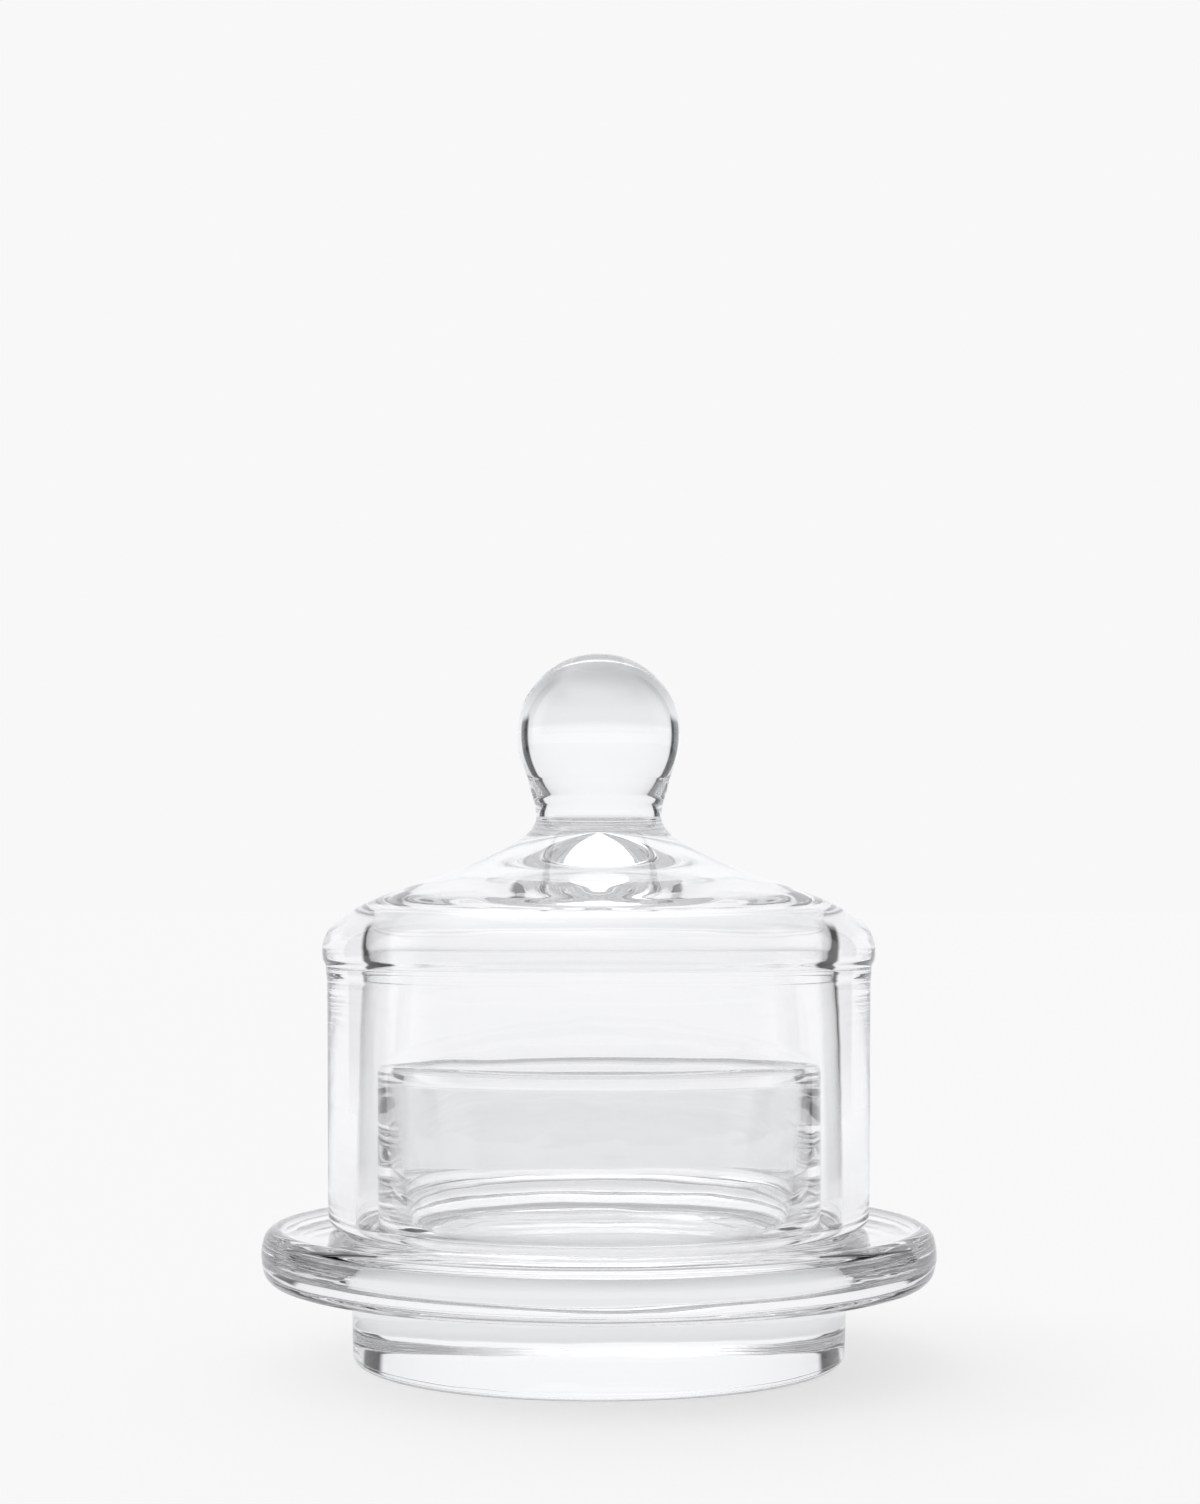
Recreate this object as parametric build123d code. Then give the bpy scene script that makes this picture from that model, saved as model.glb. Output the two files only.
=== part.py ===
from build123d import *
import math
import os

# Covered dappen dish in clear pressed glass: a shallow flanged cup that stands
# on a solid foot, and a domed lid with a solid ball knob that drops over the
# cup and rests on the flange.  Both pieces are bodies of revolution.
# Units are mm.  +Z is up.  The origin is the centre of the foot's underside.

# ---------------------------------------------------------------------- dish
# foot
FOOT_BASE_RADIUS = 26.96       # slight draft so the foot leaves its mould
FOOT_TOP_RADIUS = 27.23
FOOT_HEIGHT = 9.06
FOOT_BASE_ROUNDING = 1.22
FOOT_THROAT_ROUNDING = 0.55    # where the foot meets the flange

# flange
FLANGE_BULGE_RADIUS = 37.19
FLANGE_BULGE_Z = 12.02
FLANGE_BULGE_ROUNDING = 5.5
FLANGE_CORNER_RADIUS = 36.48   # top and bottom corners before rounding
FLANGE_CORNER_ROUNDING = 2.44
FLANGE_LOW_Z = 8.84            # underside at the rim, just below the foot's top
FLANGE_TOP_Z = 14.76           # where the lid stands
FLANGE_TOP_RISE = 0.20         # the rim turns up a little outside the lid
FLANGE_TURN_RADIUS = 33.16     # where the top face starts to turn up
FLANGE_TURN_ROUNDING = 6.6

# cup
CUP_OUTER_RADIUS = 24.42
CUP_ROOT_ROUNDING = 0.55       # where the cup stands on the flange
CUP_RIM_Z = 33.02
CUP_LIP_INNER_RADIUS = 22.58   # thickened, fire-finished lip
CUP_LIP_ROUNDING = 0.9
BORE_WIDEST_RADIUS = 23.28     # just under the lip
BORE_WIDEST_Z = 31.04
BORE_WIDEST_ROUNDING = 1.0
CUP_FLOOR_RADIUS = 21.0        # the bore tapers inwards towards the floor
CUP_FLOOR_Z = 12.90
CUP_FLOOR_ROUNDING = 4.2

# ----------------------------------------------------------------------- lid
SEAT_GAP = 0.05                # between the lid's foot and the flange

# knob
KNOB_RADIUS = 9.16
KNOB_CENTRE_Z = 68.93
KNOB_END_ANGLE = math.radians(108)   # from the top, where the neck starts

# outer face from the knob's end down to the bead: (radius, z)
NECK_AND_SHOULDER_POINTS = [
    (8.18, 64.70), (7.80, 63.30), (7.37, 61.90),
    (7.03, 59.80),             # narrowest part of the neck
    (7.58, 58.38), (9.37, 56.93), (12.93, 55.09), (17.38, 53.26), (22.94, 51.42),
    (27.05, 49.59), (29.71, 47.64), (30.42, 46.30),
]

# raised bead round the shoulder, and the step in below it: (radius, z)
BEAD_CREST = (30.64, 44.9)
BEAD_POINTS = [(30.54, 43.96), (30.24, 43.25), (30.18, 42.4)]

# skirt, the near-vertical wall of the dome; tops and bends are (radius, z)
SKIRT_TOP = (30.09, 41.1)
SKIRT_OUTER_BEND = (29.95, 30.0)
SKIRT_FOOT_Z = FLANGE_TOP_Z + SEAT_GAP
SKIRT_FOOT_OUTER_RADIUS = 29.78
SKIRT_FOOT_OUTER_ROUNDING = 1.45
SKIRT_FOOT_INNER_RADIUS = 26.80
SKIRT_FOOT_INNER_ROUNDING = 0.9
SKIRT_LOW_INNER = (26.89, 18.6)

# hollow: up the inner wall, over the inner shoulder, along the crown: (radius, z)
HOLLOW_POINTS = [
    (26.55, 32.91), (26.35, 37.89), (26.11, 41.76), (26.02, 43.98), (25.70, 45.98),
    (24.65, 47.38), (22.26, 48.16), (19.26, 48.68), (16.09, 49.35), (13.58, 50.14),
    (11.36, 50.98), (7.35, 52.40),
]

# conical point of the hollow, under the neck: (radius, z)
CONE_BASE = (5.57, 53.09)
CONE_TIP = (0.67, 55.15)
CONE_TIP_ROUNDING = 0.35
HOLLOW_APEX_Z = 55.26

# profile directions as (radial, z)
DOWN = (0, -1)
DOWN_TO_SKIRT = (-0.02, -1)
UP_INNER_WALL = (-0.02, 1)
UP_CONE = (-1, 0.41)


# ------------------------------------------------------------------- helpers
def rounded(corners):
    """Edges of an open polyline; corners are (radius, z, rounding)."""
    points = [Vector(r, z) for r, z, _ in corners]
    edges = []
    last = points[0]
    for before, corner, after, (_, _, rounding) in zip(
        points, points[1:], points[2:], corners[1:]
    ):
        if rounding == 0:
            edges.append(Line(last, corner))
            last = corner
            continue
        to_before = (before - corner).normalized()
        to_after = (after - corner).normalized()
        half_angle = math.acos(to_before.dot(to_after)) / 2
        setback = rounding / math.tan(half_angle)
        arc_start = corner + to_before * setback
        arc_end = corner + to_after * setback
        bisector = (to_before + to_after).normalized()
        arc_middle = corner + bisector * (rounding / math.sin(half_angle) - rounding)
        # neighbouring arcs may touch, leaving no straight between them
        if (arc_start - last).length > 1e-4:
            edges.append(Line(last, arc_start))
        edges.append(ThreePointArc(arc_start, arc_middle, arc_end))
        last = arc_end
    edges.append(Line(last, points[-1]))
    return edges


def turned(edges):
    """Solid of revolution about Z; the profile is closed along the axis."""
    closing = Line(edges[-1] @ 1, edges[0] @ 0)
    face = make_face(Wire(edges + [closing]))
    return revolve(Plane.XZ * face, Axis.Z, 360)


def knob_point(angle):
    """Point (radius, z) on the knob, at an angle in radians from its top."""
    return (KNOB_RADIUS * math.sin(angle), KNOB_CENTRE_Z + KNOB_RADIUS * math.cos(angle))


# -------------------------------------------------------------------- pieces
def make_dish():
    """Foot, flange and cup, from the underside's centre round to the cup's floor."""
    return turned(rounded([
        (0, 0, 0),
        (FOOT_BASE_RADIUS, 0, FOOT_BASE_ROUNDING),
        (FOOT_TOP_RADIUS, FOOT_HEIGHT, FOOT_THROAT_ROUNDING),
        (FLANGE_CORNER_RADIUS, FLANGE_LOW_Z, FLANGE_CORNER_ROUNDING),
        (FLANGE_BULGE_RADIUS, FLANGE_BULGE_Z, FLANGE_BULGE_ROUNDING),
        (FLANGE_CORNER_RADIUS, FLANGE_TOP_Z + FLANGE_TOP_RISE, FLANGE_CORNER_ROUNDING),
        (FLANGE_TURN_RADIUS, FLANGE_TOP_Z, FLANGE_TURN_ROUNDING),
        (CUP_OUTER_RADIUS, FLANGE_TOP_Z, CUP_ROOT_ROUNDING),
        (CUP_OUTER_RADIUS, CUP_RIM_Z, CUP_LIP_ROUNDING),
        (CUP_LIP_INNER_RADIUS, CUP_RIM_Z, CUP_LIP_ROUNDING),
        (BORE_WIDEST_RADIUS, BORE_WIDEST_Z, BORE_WIDEST_ROUNDING),
        (CUP_FLOOR_RADIUS, CUP_FLOOR_Z, CUP_FLOOR_ROUNDING),
        (0, CUP_FLOOR_Z, 0),
    ]))


def make_lid():
    """Knob, dome and hollow, from the knob's top down the outside and up the inside."""
    knob_end = knob_point(KNOB_END_ANGLE)
    knob = ThreePointArc(knob_point(0), knob_point(KNOB_END_ANGLE / 2), knob_end)

    # the neck leaves the knob along the sphere's own tangent
    knob_tangent = (math.cos(KNOB_END_ANGLE), -math.sin(KNOB_END_ANGLE))
    shoulder = Spline(knob_end, *NECK_AND_SHOULDER_POINTS, BEAD_CREST,
                      tangents=[knob_tangent, DOWN])
    bead = Spline(BEAD_CREST, *BEAD_POINTS, SKIRT_TOP, tangents=[DOWN, DOWN_TO_SKIRT])

    skirt = rounded([
        (*SKIRT_TOP, 0),
        (*SKIRT_OUTER_BEND, 0),
        (SKIRT_FOOT_OUTER_RADIUS, SKIRT_FOOT_Z, SKIRT_FOOT_OUTER_ROUNDING),
        (SKIRT_FOOT_INNER_RADIUS, SKIRT_FOOT_Z, SKIRT_FOOT_INNER_ROUNDING),
        (*SKIRT_LOW_INNER, 0),
    ])
    hollow = Spline(SKIRT_LOW_INNER, *HOLLOW_POINTS, CONE_BASE,
                    tangents=[UP_INNER_WALL, UP_CONE])
    cone = rounded([
        (*CONE_BASE, 0),
        (*CONE_TIP, CONE_TIP_ROUNDING),
        (0, HOLLOW_APEX_Z, 0),
    ])
    return turned([knob, shoulder, bead, *skirt, hollow, *cone])


os.makedirs("parts", exist_ok=True)
export_step(make_dish(), "parts/dish.step")
export_step(make_lid(), "parts/lid.step")
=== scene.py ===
import math
from collections import namedtuple

import bmesh
import bpy
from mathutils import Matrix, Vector, noise


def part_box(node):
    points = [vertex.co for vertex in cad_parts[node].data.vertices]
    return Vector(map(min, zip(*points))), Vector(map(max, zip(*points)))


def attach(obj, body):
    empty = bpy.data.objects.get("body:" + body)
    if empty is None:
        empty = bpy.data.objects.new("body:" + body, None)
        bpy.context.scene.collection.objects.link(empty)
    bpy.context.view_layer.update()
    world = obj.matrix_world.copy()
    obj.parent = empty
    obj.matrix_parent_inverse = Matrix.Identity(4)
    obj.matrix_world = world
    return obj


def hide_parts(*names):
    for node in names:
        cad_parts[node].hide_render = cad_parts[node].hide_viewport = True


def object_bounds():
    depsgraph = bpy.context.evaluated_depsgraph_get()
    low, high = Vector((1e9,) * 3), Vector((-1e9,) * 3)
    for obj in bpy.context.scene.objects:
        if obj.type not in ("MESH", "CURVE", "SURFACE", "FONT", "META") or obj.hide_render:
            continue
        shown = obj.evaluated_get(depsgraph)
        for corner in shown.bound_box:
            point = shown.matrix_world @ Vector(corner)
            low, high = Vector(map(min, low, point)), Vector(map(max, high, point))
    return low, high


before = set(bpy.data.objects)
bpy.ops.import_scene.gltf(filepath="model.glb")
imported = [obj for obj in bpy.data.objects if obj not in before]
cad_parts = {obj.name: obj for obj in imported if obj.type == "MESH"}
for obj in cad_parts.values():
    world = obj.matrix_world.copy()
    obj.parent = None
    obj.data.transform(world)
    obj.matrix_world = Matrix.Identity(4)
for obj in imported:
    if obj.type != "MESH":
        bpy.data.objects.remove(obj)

MM = 0.001
cad_low, cad_high = [Vector(corner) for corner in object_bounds()]
lid_box = [Vector(corner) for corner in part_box("lid")]
dish_box = [Vector(corner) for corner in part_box("dish")]

# ------------------------------------------------------------------ profiles
# Runs of points (radius, z), each starting where the one before it ends:
#   "smooth"   a curve through the points
#   "even"     the same, with its small changes of curvature averaged away
#   "rounded"  a polyline of (radius, z, rounding of the corner)

# From the top of the knob down the outside, round the rim and up the inside.
LID_PROFILE = [
    ("smooth", [
        (0.000, 78.088), (0.960, 78.038), (1.909, 77.887), (2.837, 77.637), (3.733, 77.291),
        (4.589, 76.854), (5.394, 76.329), (6.140, 75.722), (6.818, 75.041), (7.422, 74.292),
        (7.943, 73.484), (8.378, 72.626), (8.720, 71.728), (8.967, 70.799), (9.115, 69.849),
        (9.164, 68.889), (9.112, 67.929), (8.960, 66.980), (8.711, 66.053), (8.196, 64.693),
        (7.905, 63.966), (7.803, 63.407), (7.635, 62.681), (7.366, 61.899), (7.164, 61.173),
        (7.062, 60.448)]),
    ("smooth", [
        (7.062, 60.448), (7.028, 59.666), (7.206, 58.997), (7.584, 58.383), (8.252, 57.714),
        (9.366, 56.934), (10.925, 56.042), (12.929, 55.095), (15.044, 54.182), (17.381, 53.258),
        (20.496, 52.257), (22.943, 51.422), (25.167, 50.533), (27.055, 49.588), (28.663, 48.588),
        (29.715, 47.643), (30.354, 46.533), (30.637, 45.423), (30.632, 44.535)]),
    ("smooth", [
        (30.632, 44.535), (30.539, 43.959), (30.325, 43.537), (30.212, 43.149), (30.209, 42.706),
        (30.173, 42.262), (30.115, 41.819), (30.089, 41.099)]),
    ("rounded", [
        (30.089, 41.099, 0.00), (30.005, 36.229, 0.00), (29.937, 28.501, 0.00),
        (29.876, 21.896, 0.00), (29.779, 14.814, 1.44), (26.805, 14.814, 0.89),
        (26.891, 18.599, 0.00)]),
    ("even", [
        (26.891, 18.599), (26.787, 24.096), (26.545, 32.914), (26.349, 37.888), (26.185, 40.656),
        (26.113, 41.764), (26.074, 42.872), (26.024, 43.981), (25.919, 45.090), (25.723, 45.978),
        (25.348, 46.755), (24.650, 47.421), (23.484, 47.888), (22.261, 48.165), (20.926, 48.376),
        (19.258, 48.643), (16.087, 49.310), (13.584, 50.144), (11.359, 50.977), (9.245, 51.700),
        (7.352, 52.368), (5.571, 53.091)]),
    ("rounded", [
        (5.571, 53.091, 0.00), (0.669, 55.151, 0.44), (0.000, 55.263, 0.00)]),
]
# From the underside out round foot and flange, up the cup and down inside it.
DISH_PROFILE = [
    ("rounded", [
        (0.000, 0.000, 0.00), (26.958, 0.000, 1.22), (27.227, 9.064, 0.56),
        (36.449, 8.845, 2.44), (37.190, 12.019, 5.56), (36.493, 14.978, 2.44),
        (33.174, 14.781, 6.67), (24.383, 14.715, 0.56), (24.470, 33.025, 1.00),
        (22.584, 33.025, 1.00), (23.296, 31.038, 1.00), (21.002, 12.896, 4.22),
        (0.000, 12.896, 0.00)]),
]
LONGEST_STEP, SHORTEST_STEP = 1.2, 0.02   # between points of a finished profile
LID_SEGMENTS, DISH_SEGMENTS = 300, 360


def smooth_run(points, steps=3):
    """Catmull-Rom through the points, mirrored at the axis if it starts there."""
    first, second = points[:2]
    inner, last = points[-2:]
    before = (2 * first[0] - second[0], 2 * first[1] - second[1])
    if first[0] < 1e-6:
        before = (-second[0], second[1])
    after = (2 * last[0] - inner[0], 2 * last[1] - inner[1])
    padded = [before, *points, after]
    run = []
    for i in range(1, len(padded) - 2):
        spans = list(zip(*padded[i - 1:i + 3]))
        for j in range(steps):
            t = j / steps
            run.append(tuple(
                0.5 * (2 * b + (c - a) * t
                       + (2 * a - 5 * b + 4 * c - d) * t * t
                       + (3 * b - a - 3 * c + d) * t ** 3) for a, b, c, d in spans))
    run.append(tuple(last))
    return run


def even_run(points, spacing=0.5, rounds=4):
    """Smooth curve resampled at an even spacing, then averaged with its neighbours."""
    fine = smooth_run(points, 12)
    run = [fine[0]]
    for point in fine[1:]:
        while math.dist(point, run[-1]) >= spacing:
            run.append(part_way(run[-1], point, spacing, math.dist(point, run[-1])))
    run.append(fine[-1])
    for _ in range(rounds):
        middle = [tuple((a + 2 * b + c) / 4 for a, b, c in zip(*run[i - 1:i + 2]))
                  for i in range(1, len(run) - 1)]
        run = [run[0], *middle, run[-1]]
    return run


def part_way(start, end, share, whole):
    return tuple(a + (b - a) * share / whole for a, b in zip(start, end))


def rounded_run(corners, quarter_steps=18):
    """Polyline with each corner replaced by an arc of its own rounding."""
    def leg(corner, other):
        along = Vector((other[0] - corner[0], other[1] - corner[1]))
        return along.normalized(), along.length

    run = [corners[0][:2]]
    last = len(corners) - 2
    for i in range(1, last + 1):
        corner, radius = corners[i][:2], corners[i][2]
        if radius <= 0:
            run.append(corner)
            continue
        back, back_length = leg(corner, corners[i - 1])
        ahead, ahead_length = leg(corner, corners[i + 1])
        half = math.acos(max(-1, min(1, back.dot(ahead)))) / 2
        # neighbouring arcs may not meet, so each takes under half of a leg
        cut = min(radius / math.tan(half),
                  back_length if i == 1 else 0.49 * back_length,
                  ahead_length if i == last else 0.49 * ahead_length)
        radius = cut * math.tan(half)
        centre = Vector(corner) + (back + ahead).normalized() * (radius / math.sin(half))
        start = Vector(corner) + back * cut - centre
        end = Vector(corner) + ahead * cut - centre
        angle = math.atan2(start.y, start.x)
        sweep = (math.atan2(end.y, end.x) - angle + math.pi) % (2 * math.pi) - math.pi
        steps = max(4, int(quarter_steps * abs(sweep) / (math.pi / 2)) + 2)
        for j in range(steps + 1):
            turn = angle + sweep * j / steps
            run.append((centre.x + radius * math.cos(turn), centre.y + radius * math.sin(turn)))
    run.append(corners[-1][:2])
    return run


RUN_KINDS = {"smooth": smooth_run, "even": even_run, "rounded": rounded_run}


def joined(runs):
    """The runs as one list of (radius, z), without crowded points or long gaps."""
    points = []
    for kind, stations in runs:
        run = RUN_KINDS[kind](stations)
        points += run[1:] if points else run
    spaced = [points[0]]
    for point in points[1:]:
        start = spaced[-1]
        gap = math.dist(point, start)
        if gap < SHORTEST_STEP:
            continue
        steps = max(1, math.ceil(gap / LONGEST_STEP))
        spaced += [part_way(start, point, j, steps) for j in range(1, steps + 1)]
    spaced[-1] = points[-1]
    return spaced


def fitted(points, low, high):
    """The profile scaled to the width and height of a box, all in mm."""
    reach = max(radius for radius, z in points)
    bottom, top = min(z for _, z in points), max(z for _, z in points)
    radius_scale = (high.x - low.x) / 2 / reach
    z_scale = (high.z - low.z) / (top - bottom)
    return [(radius * radius_scale, low.z + (z - bottom) * z_scale) for radius, z in points]


# ------------------------------------------------------- pressed-glass surface
# One swelling of the skin: its height and length in mm, and how much finer it
# runs along Z.
Wave = namedtuple("Wave", "height length squeeze")
NOISE_ORIGIN = Vector((3.7, 9.1, 5.3))
CALM_RADIUS = 6.0              # inside this the waves fade out towards the axis

UNDERSIDE_RADIUS, UNDERSIDE_TOP = 27.3, 0.9
CUP_RADIUS = 24.6
CUP_BOTTOM, LIP_BOTTOM = 12.0, 24.0
FLANGE_RADIUS = 27.6           # the flange lies outside this


def lid_waves(radius, z, facing_z):
    return [Wave(height=0.02, length=12.0, squeeze=0.3)]


def dish_waves(radius, z, facing_z):
    if z < UNDERSIDE_TOP and radius < UNDERSIDE_RADIUS:
        return []
    flat = max(0.0, facing_z) ** 2           # 1 where the skin faces straight up
    if radius < CUP_RADIUS and z > LIP_BOTTOM:       # fire-finished lip
        return [Wave(height=0.03 + 0.13 * flat, length=12.0, squeeze=0.5),
                Wave(height=0.012, length=4.0, squeeze=0.5)]
    if radius < CUP_RADIUS and z > CUP_BOTTOM:       # cup wall and floor
        return [Wave(height=0.008 + 0.13 * flat, length=11.0, squeeze=0.4)]
    broad = Wave(height=0.04, length=9.0, squeeze=0.7)
    if radius > FLANGE_RADIUS:                       # turned marks round its edge
        return [broad, Wave(height=0.030, length=14.0, squeeze=9.0)]
    return [broad, Wave(height=0.010, length=4.0, squeeze=0.7)]


def skin_rings(points, centre, waves, segments):
    """Vertices of the waved skin, and the vertex numbers of each ring."""
    verts, rings = [], []
    for i, (radius, z) in enumerate(points):
        if radius < 1e-5:
            rings.append([len(verts)])
            verts.append((centre.x * MM, centre.y * MM, z * MM))
            continue
        before, after = points[max(0, i - 1)], points[min(len(points) - 1, i + 1)]
        along_r, along_z = after[0] - before[0], after[1] - before[1]
        length = math.hypot(along_r, along_z) or 1.0
        normal_r, normal_z = along_z / length, -along_r / length
        ring_waves = waves(radius, z, normal_z)
        rings.append(range(len(verts), len(verts) + segments))
        for k in range(segments):
            angle = 2 * math.pi * k / segments
            cosine, sine = math.cos(angle), math.sin(angle)
            push = 0.0
            for wave in ring_waves:
                place = Vector((radius * cosine, radius * sine, z * wave.squeeze))
                push += wave.height * noise.noise(place / wave.length + NOISE_ORIGIN)
            push *= min(1.0, radius / CALM_RADIUS)
            pushed = radius + normal_r * push
            verts.append(((pushed * cosine + centre.x) * MM,
                          (pushed * sine + centre.y) * MM,
                          (z + normal_z * push) * MM))
    return verts, rings


def skin_faces(rings, segments):
    faces = []
    for ring, following in zip(rings[:-1], rings[1:]):
        for k in range(segments):
            j = (k + 1) % segments
            if len(ring) == 1:
                faces.append((ring[0], following[k], following[j]))
            elif len(following) == 1:
                faces.append((ring[k], following[0], ring[j]))
            else:
                faces.append((ring[k], following[k], following[j], ring[j]))
    return faces


def pressed(name, runs, waves, box, segments):
    """Turns the profile about Z and lets the surface swell and ripple as hand
    finished pressed glass does.  The profile is fitted to the CAD box."""
    low, high = box[0] / MM, box[1] / MM
    points = fitted(joined(runs), low, high)
    verts, rings = skin_rings(points, (low + high) / 2, waves, segments)
    mesh = bpy.data.meshes.new(name)
    mesh.from_pydata(verts, [], skin_faces(rings, segments))
    shell = bmesh.new()
    shell.from_mesh(mesh)
    bmesh.ops.recalc_face_normals(shell, faces=shell.faces)
    shell.to_mesh(mesh)
    shell.free()
    for face in mesh.polygons:
        face.use_smooth = True
    piece = bpy.data.objects.new(name, mesh)
    bpy.context.scene.collection.objects.link(piece)
    return piece


lid = pressed("lid_glass_skin", LID_PROFILE, lid_waves, lid_box, LID_SEGMENTS)
dish = pressed("dish_glass_skin", DISH_PROFILE, dish_waves, dish_box, DISH_SEGMENTS)


# --------------------------------------------------------------- node helpers
def add(tree, kind, inputs=None, **settings):
    """New shader node; an input given as a socket is linked, any other is set."""
    node = tree.nodes.new("ShaderNode" + kind)
    for key, value in settings.items():
        setattr(node, key, value)
    for key, value in (inputs or {}).items():
        if isinstance(value, bpy.types.NodeSocket):
            tree.links.new(value, node.inputs[key])
        else:
            node.inputs[key].default_value = value
    return node


def maths(tree, operation, *values):
    return add(tree, "Math", dict(enumerate(values)), operation=operation).outputs[0]


def ramp(tree, value, low, high, at_low=0.0, at_high=1.0):
    return add(tree, "MapRange", {
        "Value": value, "From Min": low, "From Max": high, "To Min": at_low, "To Max": at_high,
    }, interpolation_type="SMOOTHSTEP").outputs[0]


def band(tree, value, begin, full, fading, gone):
    """1 between full and fading, 0 before begin and after gone."""
    return maths(tree, "MULTIPLY", ramp(tree, value, begin, full),
                 ramp(tree, value, fading, gone, 1.0, 0.0))


def lerp(tree, share, start, end):
    kept = maths(tree, "MULTIPLY", maths(tree, "SUBTRACT", 1.0, share), start)
    return maths(tree, "ADD", kept, maths(tree, "MULTIPLY", share, end))


def split_xyz(tree, vector):
    return add(tree, "SeparateXYZ", {0: vector}).outputs


def split_rays(tree, others, seen):
    """Camera rays get the seen shader, all other rays the first one."""
    path = add(tree, "LightPath")
    return add(tree, "MixShader", {
        0: path.outputs["Is Camera Ray"], 1: others, 2: seen}).outputs[0]


def cleared_tree(owner):
    owner.use_nodes = True
    owner.node_tree.nodes.clear()
    return owner.node_tree


# ---------------------------------------------------------------------- glass
GLASS_IOR = 1.5
CLEAR = (1.0, 1.0, 1.0, 1)
DEEP_TINT = (0.982, 0.988, 0.990, 1)
TINT_BY_THICKNESS, TINT_BY_CORD = 0.6, 0.4
FILM_ROUGHNESS, CORD_ROUGHNESS = 0.012, 0.004
RIPPLE_HEIGHT = 0.006          # mm
FINE_RIPPLE_SHARE = 0.12
# heights between which the glass is thick, in metres
LID_THICK = (lid_box[0].z + 0.036, lid_box[1].z)
DISH_THICK = (dish_box[0].z - 0.004, dish_box[0].z + 0.014)


def noise_at(tree, scale, stretch, detail, shift):
    """Noise over the piece, stretch being how much finer it runs along Z."""
    place = add(tree, "TexCoord").outputs["Object"]
    moved = add(tree, "Mapping", {
        "Scale": (1.0, 1.0, stretch), "Location": (shift, shift * 0.7, shift * 1.3),
        "Vector": place})
    return add(tree, "TexNoise", {
        "Scale": scale, "Detail": detail, "Vector": moved.outputs[0]}).outputs["Fac"]


def glass(name, shift, thick):
    """Soda-lime pressed glass: a breath of grey-green that deepens where the
    glass is thick, patches of handling film that dull the polish, and the
    shallow ripple the mould leaves."""
    material = bpy.data.materials.new(name)
    material.use_nodes = True
    tree = material.node_tree

    # colour
    height = split_xyz(tree, add(tree, "TexCoord").outputs["Object"])[2]
    low, high = thick
    edge = (high - low) * 0.25
    thickness = band(tree, height, low - edge, low + edge, high - edge, high + edge)
    cord_noise = noise_at(tree, scale=140.0, stretch=1.6, detail=0.0, shift=shift)
    cord = ramp(tree, cord_noise, 0.3, 0.7)
    depth = maths(tree, "ADD", maths(tree, "MULTIPLY", thickness, TINT_BY_THICKNESS),
                  maths(tree, "MULTIPLY", cord, TINT_BY_CORD))
    tint = add(tree, "Mix", {"A": CLEAR, "B": DEEP_TINT, "Factor": depth}, data_type="RGBA")

    # polish
    film_noise = noise_at(tree, scale=90.0, stretch=1.0, detail=2.0, shift=shift + 1.9)
    film = ramp(tree, film_noise, 0.52, 0.72)
    dull = maths(tree, "ADD", maths(tree, "MULTIPLY", film, FILM_ROUGHNESS),
                 maths(tree, "MULTIPLY", cord, CORD_ROUGHNESS))

    # mould ripple
    ripple = noise_at(tree, scale=210.0, stretch=2.6, detail=0.0, shift=shift + 2.7)
    fine = noise_at(tree, scale=620.0, stretch=1.5, detail=0.0, shift=shift + 5.3)
    relief = maths(tree, "ADD", ripple, maths(tree, "MULTIPLY", fine, FINE_RIPPLE_SHARE))
    bump = add(tree, "Bump", {
        "Strength": 1.0, "Distance": RIPPLE_HEIGHT * MM, "Height": relief})

    surface = tree.nodes["Principled BSDF"].inputs
    surface["Transmission Weight"].default_value = 1.0
    surface["IOR"].default_value = GLASS_IOR
    tree.links.new(tint.outputs["Result"], surface["Base Color"])
    tree.links.new(dull, surface["Roughness"])
    tree.links.new(bump.outputs[0], surface["Normal"])
    return material


lid.data.materials.append(glass("lid_pressed_glass", shift=0.0, thick=LID_THICK))
dish.data.materials.append(glass("dish_pressed_glass", shift=7.0, thick=DISH_THICK))
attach(lid, "lid")
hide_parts("lid")
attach(dish, "dish")
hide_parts("dish")

# --------------------------------------------------------------------- studio
# The studio is fixed to the camera: white paper behind, a narrow black flag
# standing on the table at each side, white side walls, a dimmer room behind the
# camera and a soft box overhead that is brighter to the left.
# Bearings and rises are in degrees, 0 being straight ahead and level.
SEEN_WHITE = 0.939             # strength of floor and backdrop as the camera sees them
DEGREES = 180 / math.pi

FLOOR_SIZE, FLOOR_DROP = 60.0, 0.05 * MM
FLOOR_FAR, FLOOR, FLOOR_STEEP_PAINTED_SHADE = 0.95, 0.85, 0.50   # paper tone far off, then painted shade: darker to steeper rays, which meet the paper nearer the dish
FLOOR_TINT = (0.994, 0.998, 1.008)
FLOOR_SEEN = 0.932             # tone of the seen paper that takes the shadow
FILL, FILL_UNDER = 0.45, 0.8   # share of painted glow in the paper, painted light in place of light through the glass: open, under the foot
FILL_EDGE = (0.026, 0.034)     # radii between which the fill changes
SHADOW = 0.32                  # share of the shadow that the seen floor keeps
SHADOW_LEFT = 0.4 * SHADOW
SHADOW_EDGE = (-0.055, 0.012)  # x between which the shadow deepens

# bearings at which each flag begins, is full, starts to fade and is gone
FLAG_RIGHT, FLAG_LEFT = (46, 50, 60, 65), (49, 53, 69, 75)
FLAG_DISTANCE = 0.4
FLAG_TONE, FLAG_FLOOR = 0.03, 0.024   # the flag itself, the floor behind it

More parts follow.
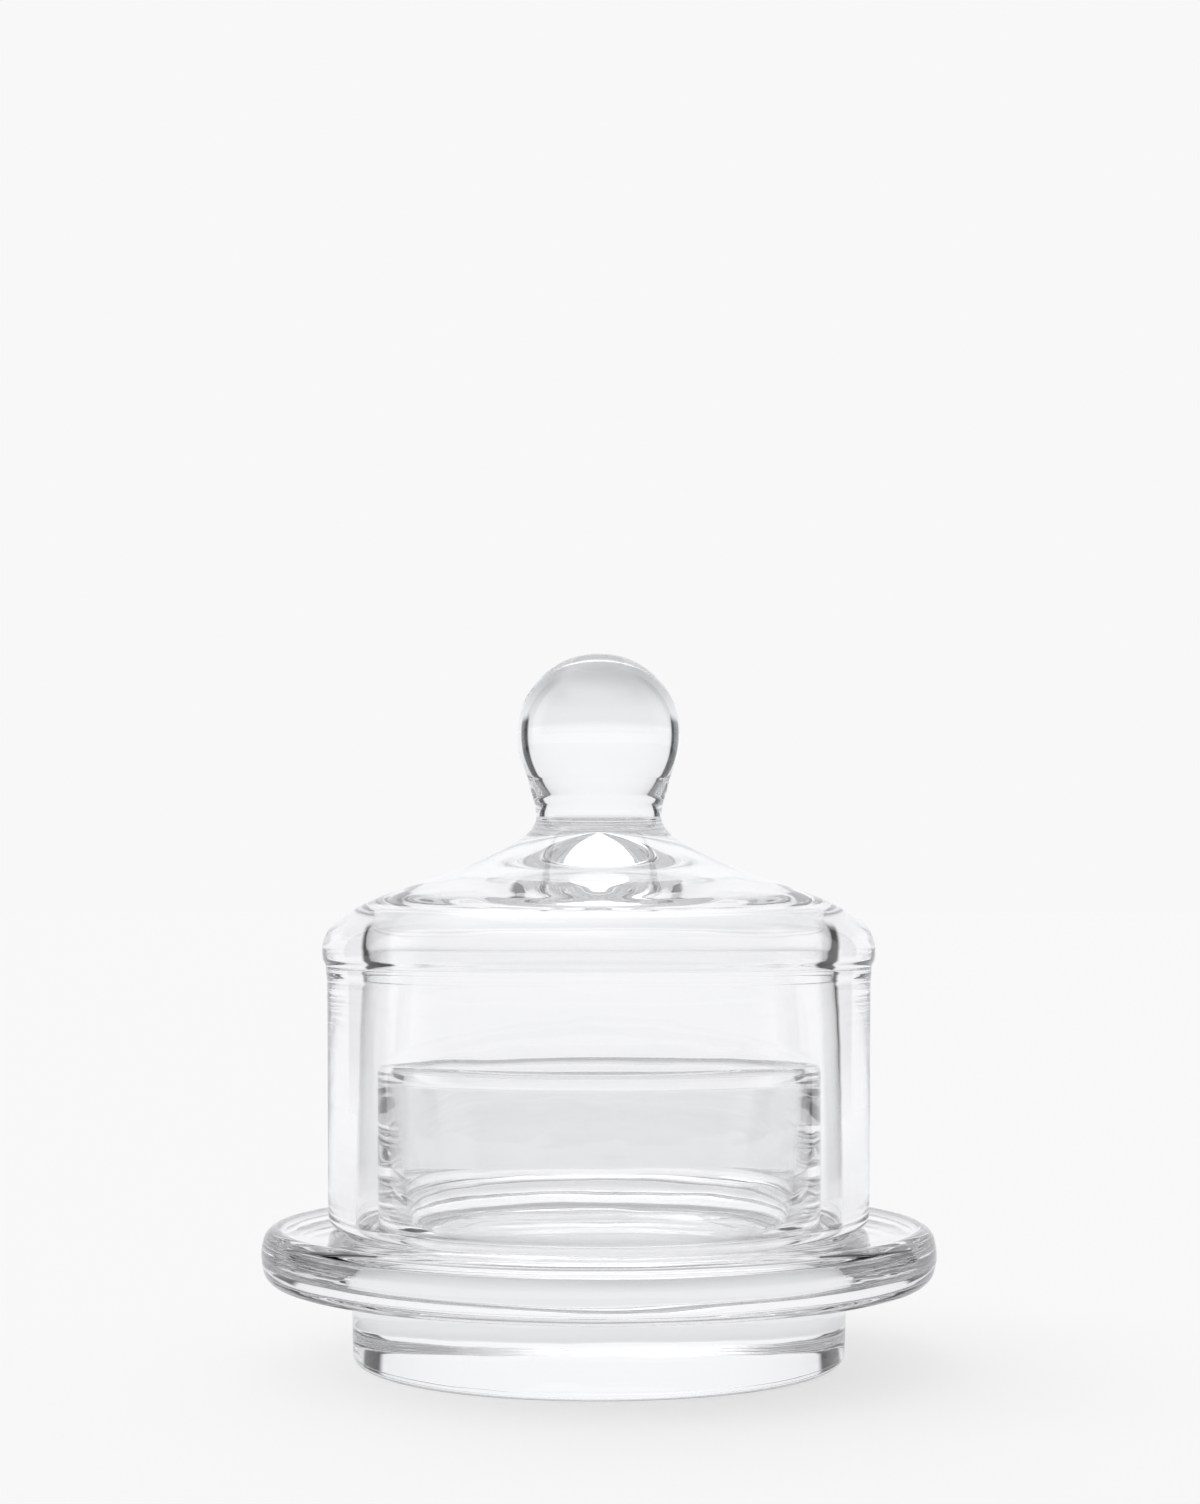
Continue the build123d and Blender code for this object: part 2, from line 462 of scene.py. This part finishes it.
BACK, BACK_FALL = 0.985, 0.06  # paper behind, and its loss by 45 degrees aside
SIDE, FRONT = 1.0, 0.22        # side walls, room behind the camera
SIDE_EDGE, FRONT_EDGE = (60, 66), (82, 100)        # bearings where these take over
TOP, TOP_EDGE = 1.75, (40, 60)                     # soft box, rises where it takes over
TOP_RIGHT, TOP_AHEAD = -1.3, 0.3                   # its change to the right and ahead
WORLD_TINT = (0.995, 0.997, 1.012, 1)


def bearings(tree, camera_vector, rise):
    """Bearing round the object, 0 straight away from the camera and positive to
    its right, with the rightward and level forward parts of the direction."""
    unit = add(tree, "VectorMath", {0: camera_vector}, operation="NORMALIZE")
    right, _, ahead = split_xyz(tree, unit.outputs[0])
    level = maths(tree, "SUBTRACT",
                  maths(tree, "SUBTRACT", 1.0, maths(tree, "MULTIPLY", right, right)),
                  maths(tree, "MULTIPLY", rise, rise))
    forward = maths(tree, "MULTIPLY",
                    maths(tree, "SQRT", maths(tree, "MAXIMUM", level, 0.0)),
                    maths(tree, "SIGN", ahead))
    turn = maths(tree, "MULTIPLY", maths(tree, "ARCTAN2", right, forward), DEGREES)
    return turn, right, forward


def flags(tree, turn):
    mirrored = maths(tree, "MULTIPLY", turn, -1.0)
    return maths(tree, "MAXIMUM", band(tree, turn, *FLAG_RIGHT),
                 band(tree, mirrored, *FLAG_LEFT))


def paper():
    material = bpy.data.materials.new("paper")
    tree = cleared_tree(material)
    geometry = add(tree, "NewGeometry").outputs
    away = add(tree, "VectorMath", {0: geometry["Incoming"], "Scale": -1.0},
               operation="SCALE").outputs[0]
    turned = add(tree, "VectorTransform", {0: away}, vector_type="VECTOR",
                 convert_from="WORLD", convert_to="CAMERA")
    rise = split_xyz(tree, away)[2]
    turn = bearings(tree, turned.outputs[0], rise)[0]
    x, y, _ = split_xyz(tree, geometry["Position"])
    radius = maths(tree, "SQRT", maths(tree, "ADD", maths(tree, "MULTIPLY", x, x),
                                       maths(tree, "MULTIPLY", y, y)))

    # tone met by light and by rays through the glass, with painted shade that darkens it for
    # steeper rays
    beyond = ramp(tree, radius, 0.7 * FLAG_DISTANCE, 1.6 * FLAG_DISTANCE)
    behind_flag = maths(tree, "MULTIPLY", flags(tree, turn), beyond)
    steep = maths(tree, "MULTIPLY", rise, -1.0)
    # painted shade: the paper is darker to steeper rays, in place of the shade around the dish
    open_tone_with_painted_shade = lerp(tree, ramp(tree, steep, 0.0, 0.06), FLOOR_FAR,
                     ramp(tree, steep, 0.12, 0.6, FLOOR, FLOOR_STEEP_PAINTED_SHADE))
    tone = lerp(tree, behind_flag, open_tone_with_painted_shade, FLAG_FLOOR)
    colour = add(tree, "CombineColor", {
        i: maths(tree, "MULTIPLY", tone, share) for i, share in enumerate(FLOOR_TINT)}).outputs[0]
    # painted light: the paper glows, most under the foot, standing in for light through the glass
    lit = add(tree, "MixShader", {
        0: ramp(tree, radius, *FILL_EDGE, FILL_UNDER, FILL),
        1: add(tree, "BsdfDiffuse", {"Color": colour}).outputs[0],
        2: add(tree, "Emission", {"Color": colour}).outputs[0]})

    # what the camera sees: even white, the shadow softened by painted glow and painted lighter on
    # the left
    seen = add(tree, "MixShader", {
        0: ramp(tree, x, *SHADOW_EDGE, SHADOW_LEFT, SHADOW),
        1: add(tree, "Emission", {"Strength": SEEN_WHITE}).outputs[0],
        2: add(tree, "BsdfDiffuse", {"Color": (FLOOR_SEEN,) * 3 + (1,)}).outputs[0]})
    add(tree, "OutputMaterial", {
        "Surface": split_rays(tree, lit.outputs[0], seen.outputs[0])})
    return material


def studio():
    world = bpy.data.worlds.new("studio")
    bpy.context.scene.world = world
    tree = cleared_tree(world)
    coords = add(tree, "TexCoord").outputs
    upward = split_xyz(tree, coords["Generated"])[2]
    turn, right, forward = bearings(tree, coords["Camera"], upward)
    aside = maths(tree, "ABSOLUTE", turn)
    rise = maths(tree, "MULTIPLY", maths(tree, "ARCSINE", upward), DEGREES)

    fall = maths(tree, "MULTIPLY", aside, 1 / 45)
    loss = maths(tree, "MULTIPLY", maths(tree, "MULTIPLY", fall, fall), BACK_FALL)
    back = maths(tree, "SUBTRACT", BACK, loss)
    side = lerp(tree, ramp(tree, turn, -80, 80), SIDE * 1.15, SIDE * 0.85)
    top = maths(tree, "ADD", TOP, maths(tree, "ADD", maths(tree, "MULTIPLY", right, TOP_RIGHT),
                                        maths(tree, "MULTIPLY", forward, TOP_AHEAD)))
    light = lerp(tree, ramp(tree, aside, *SIDE_EDGE), back, side)
    light = lerp(tree, ramp(tree, aside, *FRONT_EDGE), light, FRONT)
    light = lerp(tree, flags(tree, turn), light, FLAG_TONE)
    light = lerp(tree, ramp(tree, rise, *TOP_EDGE), light, top)

    room = add(tree, "Background", {"Color": WORLD_TINT, "Strength": light})
    seen = add(tree, "Background", {"Color": (1, 1, 1, 1), "Strength": SEEN_WHITE})
    add(tree, "OutputWorld", {
        "Surface": split_rays(tree, room.outputs[0], seen.outputs[0])})


bpy.ops.mesh.primitive_plane_add(size=FLOOR_SIZE, location=(0, 0, cad_low.z - FLOOR_DROP))
floor = bpy.context.object
floor.name = "floor"
floor.data.materials.append(paper())
studio()

# ----------------------------------------------------------- camera and render
CAMERA_PLACE = (0.00013, -0.300, 0.04948)
CAMERA_PITCH = math.radians(3.35)   # tilted up from level
CAMERA_LENS = 64.388298             # mm

scene = bpy.context.scene
lens = bpy.data.cameras.new("camera")
camera = bpy.data.objects.new("camera", lens)
scene.collection.objects.link(camera)
scene.camera = camera
lens.sensor_fit = "AUTO"
lens.sensor_width = 36.0
lens.lens = CAMERA_LENS
lens.clip_start, lens.clip_end = 0.01, 100.0
camera.location = CAMERA_PLACE
camera.rotation_euler = (math.pi / 2 + CAMERA_PITCH, 0, 0)
scene.view_settings.view_transform = "Standard"
scene.cycles.max_bounces = 24
scene.cycles.transmission_bounces = 24
scene.cycles.glossy_bounces = 16
scene.cycles.transparent_max_bounces = 16
scene.cycles.diffuse_bounces = 3
